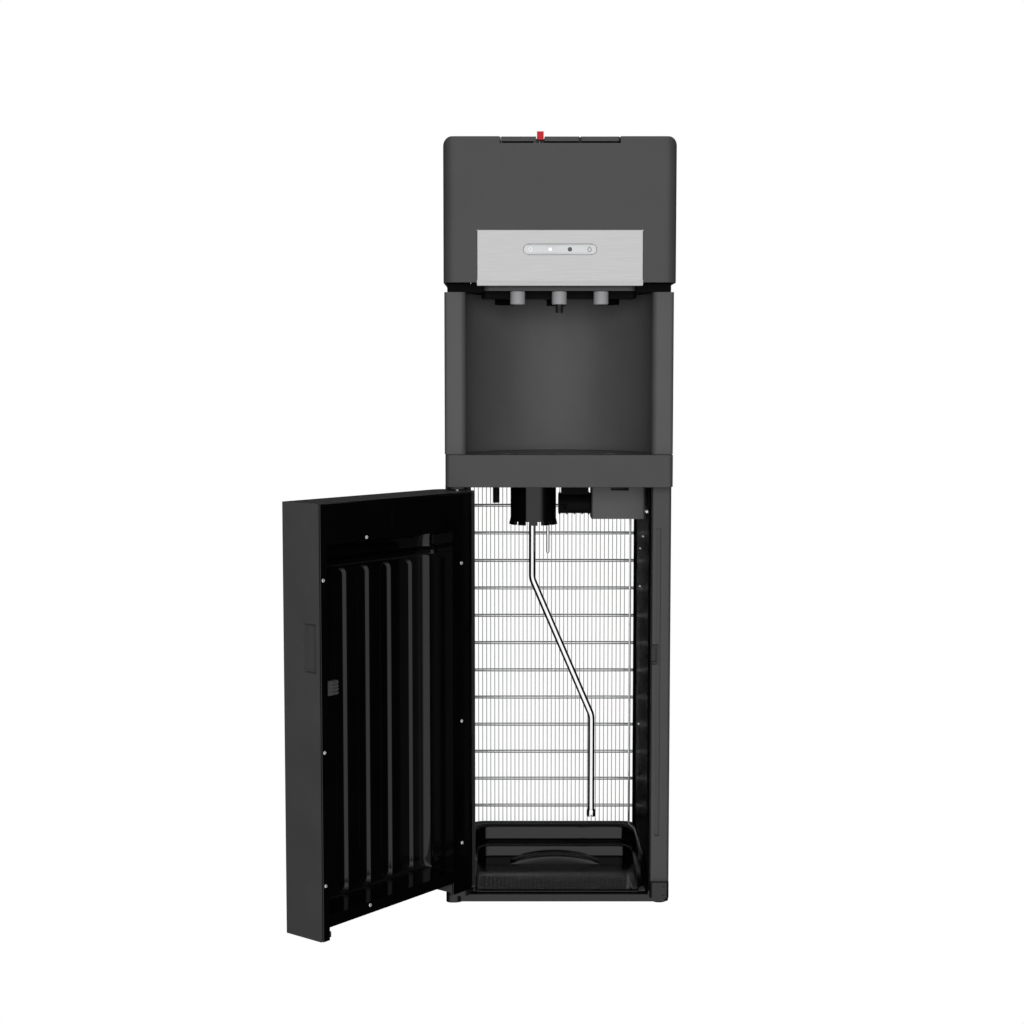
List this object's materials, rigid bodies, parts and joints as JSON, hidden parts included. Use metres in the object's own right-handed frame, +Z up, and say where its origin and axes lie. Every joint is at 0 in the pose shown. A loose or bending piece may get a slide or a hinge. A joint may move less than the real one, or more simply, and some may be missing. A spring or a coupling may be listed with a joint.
{
  "type": "bottom-loading water dispenser",
  "caption": "Floor-standing water dispenser with an open bottle compartment below, a curved cup alcove, push buttons on top and a hinged door.",
  "frame": {"origin": "on the floor under the middle of the cabinet, halfway between its sides and between the head's front and back", "axes": "+X to the right seen from the front, +Y from front to back, +Z up"},
  "size_m": [0.5025, 0.5685, 1.0545],
  "materials": {
    "graphite_abs": "satin moulded, dark graphite",
    "satin_black_abs": "satin moulded, black",
    "gloss_black_abs": "mirror-gloss moulded, black",
    "painted_steel": "powder coated, black",
    "galvanised_steel": "zinc coated sheet",
    "brushed_aluminium": "brushed along its width",
    "stainless": "polished stainless steel",
    "zinc_screw": "bright zinc",
    "grey_nozzle": "satin moulded, mid grey",
    "silver_window": "silver tinted, glossy",
    "light_lens": "frosted lens",
    "condenser_black": "dip painted wire and tube",
    "compressor_black": "black enamel",
    "circuit_board": "green solder mask",
    "white_foam": "moulded foam",
    "white_plastic": "satin moulded, white",
    "copper": "bright drawn copper",
    "clear_silicone": "milky silicone",
    "pump_grey": "satin moulded, grey",
    "red_plastic": "glossy, red",
    "green_plastic": "glossy, green",
    "rubber": "matt black rubber"
  },
  "bodies": {
    "cabinet": {"base_frame": "satin_black_abs", "feet": "rubber", "bottle_tray": "gloss_black_abs", "left_side_panel": "painted_steel", "right_side_panel": "painted_steel", "lower_front_frame": "graphite_abs", "left_liner": "gloss_black_abs", "right_liner": "gloss_black_abs", "cabinet_screws": "zinc_screw", "door_stop": "satin_black_abs", "lower_hinge_bracket": "satin_black_abs", "upper_hinge_bracket": "painted_steel", "hinge_pins": "stainless", "catch_strike": "satin_black_abs", "deck_plate": "galvanised_steel", "drip_shelf": "graphite_abs", "alcove_panel": "graphite_abs", "nozzle_housing": "satin_black_abs", "hot_nozzle": "grey_nozzle", "room_nozzle": "grey_nozzle", "cold_nozzle": "grey_nozzle", "spout_insert": "satin_black_abs", "head_shell": "graphite_abs", "top_cover": "satin_black_abs", "control_panel": "brushed_aluminium", "indicator_window": "silver_window", "indicator_lights": "light_lens", "control_board": "circuit_board", "button_pin": "stainless", "micro_switches": "satin_black_abs", "back_panel": "painted_steel", "condenser_tube": "condenser_black", "condenser_wires": "condenser_black", "compressor": "compressor_black", "cold_tank": "stainless", "tank_insulation": "white_foam", "evaporator_coil": "copper", "hot_tank": "stainless", "water_pipes": "clear_silicone", "pump_motor": "satin_black_abs", "pump_box": "pump_grey", "pump_hoses": "rubber", "power_inlet": "satin_black_abs", "drain_cap": "white_plastic"},
    "door": {"door_shell": "graphite_abs", "door_liner": "gloss_black_abs", "door_catch": "satin_black_abs", "door_screws": "zinc_screw"},
    "hot_button": {"hot_button": "graphite_abs"},
    "child_lock": {"child_lock": "red_plastic"},
    "room_button": {"room_button": "graphite_abs"},
    "cold_button": {"cold_button": "graphite_abs"},
    "drip_tray": {"drip_tray": "satin_black_abs"},
    "drip_grille": {"drip_grille": "graphite_abs"},
    "probe": {"probe_collar": "satin_black_abs", "probe_tube": "stainless", "float_rod": "stainless", "probe_hoses": "clear_silicone"},
    "hot_rocker": {"hot_rocker": "red_plastic"},
    "cold_rocker": {"cold_rocker": "green_plastic"}
  },
  "joints": [
    {"name": "door_swing", "type": "hinge", "parent": "cabinet", "child": "door", "pos_m": [-0.1376, -0.1457, 0.3], "axis": [0, 0, 1], "range_deg": [0, 128.45]},
    {"name": "hot_button_press", "type": "hinge", "parent": "cabinet", "child": "hot_button", "pos_m": [0, -0.106, 1.037], "axis": [1, 0, 0], "range_deg": [0, 2], "stiffness_Nm_per_rad": 1, "springref_deg": -2.86},
    {"name": "room_button_press", "type": "hinge", "parent": "cabinet", "child": "room_button", "pos_m": [0, -0.106, 1.037], "axis": [1, 0, 0], "range_deg": [0, 2], "stiffness_Nm_per_rad": 1, "springref_deg": -2.86},
    {"name": "cold_button_press", "type": "hinge", "parent": "cabinet", "child": "cold_button", "pos_m": [0, -0.106, 1.037], "axis": [1, 0, 0], "range_deg": [0, 2], "stiffness_Nm_per_rad": 1, "springref_deg": -2.86},
    {"name": "child_lock_slide", "type": "slide", "parent": "hot_button", "child": "child_lock", "axis": [0, 1, 0], "range_m": [0, 0.006], "stiffness_N_per_m": 60, "springref_m": -0.003},
    {"name": "drip_tray_lift", "type": "slide", "parent": "cabinet", "child": "drip_tray", "axis": [0, 0, 1], "range_m": [0, 0.03]},
    {"name": "drip_grille_lift", "type": "slide", "parent": "drip_tray", "child": "drip_grille", "axis": [0, 0, 1], "range_m": [0, 0.02]},
    {"name": "probe_pull", "type": "slide", "parent": "cabinet", "child": "probe", "axis": [0, 0, -1], "range_m": [0, 0.04]},
    {"name": "hot_switch", "type": "hinge", "parent": "cabinet", "child": "hot_rocker", "pos_m": [-0.05, 0.163, 0.979], "axis": [1, 0, 0], "range_deg": [-16, 0]},
    {"name": "cold_switch", "type": "hinge", "parent": "cabinet", "child": "cold_rocker", "pos_m": [-0.02, 0.163, 0.979], "axis": [1, 0, 0], "range_deg": [-16, 0]}
  ]
}
